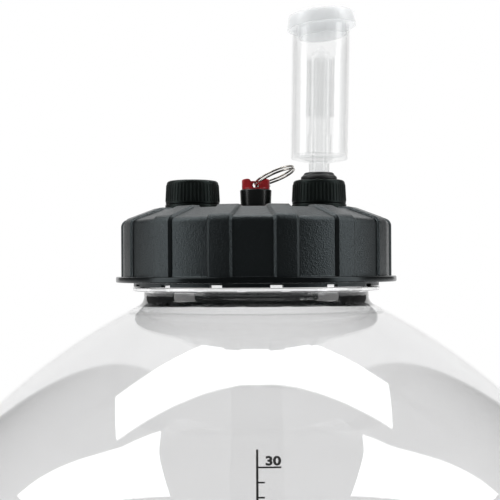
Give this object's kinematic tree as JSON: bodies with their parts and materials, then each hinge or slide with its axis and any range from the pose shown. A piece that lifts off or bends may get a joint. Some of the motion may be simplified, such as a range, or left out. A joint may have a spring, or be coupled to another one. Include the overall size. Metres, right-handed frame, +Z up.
{
  "type": "fermentation jar with airlock",
  "caption": "Clear round fermentation jar with a black ribbed screw lid carrying a blank cap, a relief valve with a pull ring and a clear bubble airlock.",
  "frame": {"origin": "centre of the stand ring's foot on the floor, below the jar's axis", "axes": "+Z up along the jar's axis; the volume scale faces -Y; the airlock is on the +X side and the blank cap on the -X side"},
  "size_m": [0.3499, 0.3503, 0.5941],
  "materials": {
    "clear_pet": "clear, gloss",
    "clear_styrene": "clear, gloss",
    "clear_film": "clear film with black print",
    "black_plastic": "satin with a fine grain",
    "black_rubber": "satin",
    "foam_liner": "matt",
    "red_plastic": "gloss",
    "white_plastic": "milky, half clear",
    "nickel_steel": "bright nickel",
    "spring_steel": "drawn wire"
  },
  "bodies": {
    "tank": {"tank": "clear_pet", "stand_ring": "black_plastic", "volume_scale": "clear_film"},
    "lid_seal": {"lid_o_ring": "black_rubber"},
    "lid": {"screw_lid": "black_plastic", "prv_body": "black_plastic", "prv_spring_retainer": "black_plastic", "prv_o_ring": "black_rubber", "prv_lock_nut": "black_plastic", "prv_spring": "spring_steel", "blank_cap_band": "black_plastic", "airlock_cap_band": "black_plastic"},
    "blank_liner": {"blank_cap_liner": "foam_liner"},
    "blank_cap": {"blank_cap": "black_plastic"},
    "airlock_gasket": {"airlock_cap_gasket": "foam_liner"},
    "airlock_cap": {"airlock_cap": "black_plastic", "airlock_grommet": "black_rubber"},
    "airlock": {"airlock_cup": "clear_styrene"},
    "float": {"airlock_float": "clear_styrene"},
    "dust_cap": {"airlock_dust_cap": "white_plastic"},
    "valve_head": {"prv_pull_head": "red_plastic", "prv_stem": "black_plastic", "prv_seat_seal": "black_rubber"},
    "pull_ring": {"prv_pull_ring": "nickel_steel"}
  },
  "joints": [
    {"name": "lid_lift", "type": "slide", "parent": "tank", "child": "lid_seal", "axis": [0, 0, 1], "range_m": [0, 0.00946]},
    {"name": "lid_turn", "type": "hinge", "parent": "lid_seal", "child": "lid", "pos_m": [0, 0, 0.47351], "axis": [0, 0, 1], "range_deg": [0, 486]},
    {"name": "blank_cap_lift", "type": "slide", "parent": "lid", "child": "blank_liner", "axis": [0, 0, 1], "range_m": [0, 0.00406]},
    {"name": "blank_cap_turn", "type": "hinge", "parent": "blank_liner", "child": "blank_cap", "pos_m": [-0.0351, 0, 0.50086], "axis": [0, 0, 1], "range_deg": [0, 540]},
    {"name": "airlock_cap_lift", "type": "slide", "parent": "lid", "child": "airlock_gasket", "axis": [0, 0, 1], "range_m": [0, 0.00406]},
    {"name": "airlock_cap_turn", "type": "hinge", "parent": "airlock_gasket", "child": "airlock_cap", "pos_m": [0.0351, 0, 0.50086], "axis": [0, 0, 1], "range_deg": [0, 540]},
    {"name": "airlock_pull", "type": "slide", "parent": "airlock_cap", "child": "airlock", "axis": [0.0192, 0, 0.9998], "range_m": [0, 0.026]},
    {"name": "float_rise", "type": "slide", "parent": "airlock", "child": "float", "axis": [0.0192, 0, 0.9998], "range_m": [0, 0.01]},
    {"name": "dust_cap_pull", "type": "slide", "parent": "airlock", "child": "dust_cap", "axis": [0.0192, 0, 0.9998], "range_m": [0, 0.014]},
    {"name": "prv_lift", "type": "slide", "parent": "lid", "child": "valve_head", "axis": [0, 0, 1], "range_m": [0, 0.003], "stiffness_N_per_m": 900, "springref_m": -0.004, "deforming": ["prv_spring"]},
    {"name": "pull_ring_swing", "type": "hinge", "parent": "valve_head", "child": "pull_ring", "pos_m": [0, 0, 0.49801], "axis": [0, -1, 0], "range_deg": [0, 136]}
  ],
  "couplings": [
    {"joint": "lid_lift", "follows": "lid_turn", "m_per_rad": 0.0011141},
    {"joint": "blank_cap_lift", "follows": "blank_cap_turn", "m_per_rad": 0.00042972},
    {"joint": "airlock_cap_lift", "follows": "airlock_cap_turn", "m_per_rad": 0.00042972}
  ]
}
